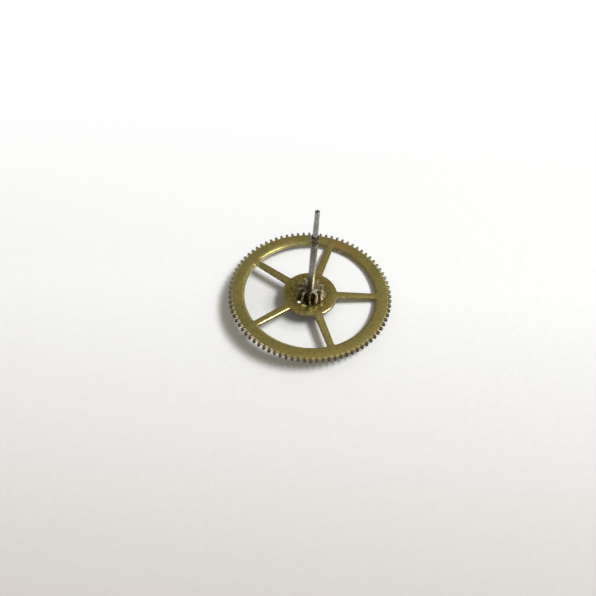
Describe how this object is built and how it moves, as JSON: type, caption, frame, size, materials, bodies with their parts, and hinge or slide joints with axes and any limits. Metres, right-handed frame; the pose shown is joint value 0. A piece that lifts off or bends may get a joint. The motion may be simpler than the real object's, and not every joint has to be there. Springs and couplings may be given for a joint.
{
  "type": "watch seconds wheel",
  "caption": "Thin brass train wheel with slim arms and a toothed rim, on a steel pinion and a long arbor whose tapered pivot carries a seconds hand.",
  "frame": {"origin": "on the arbor's axis at the tip of the rear pivot, which is the lowest point of the part", "axes": "+Z along the arbor towards the long seconds pivot; +X along the middle of the first arm"},
  "size_m": [0.012, 0.012, 0.0098],
  "materials": {
    "wheel": "brushed brass, lightly tarnished",
    "pinion": "hardened steel, polished leaves",
    "arbor": "hardened steel, turned and burnished"
  },
  "bodies": {
    "root": {"wheel": "wheel", "pinion": "pinion", "arbor": "arbor"}
  },
  "joints": []
}
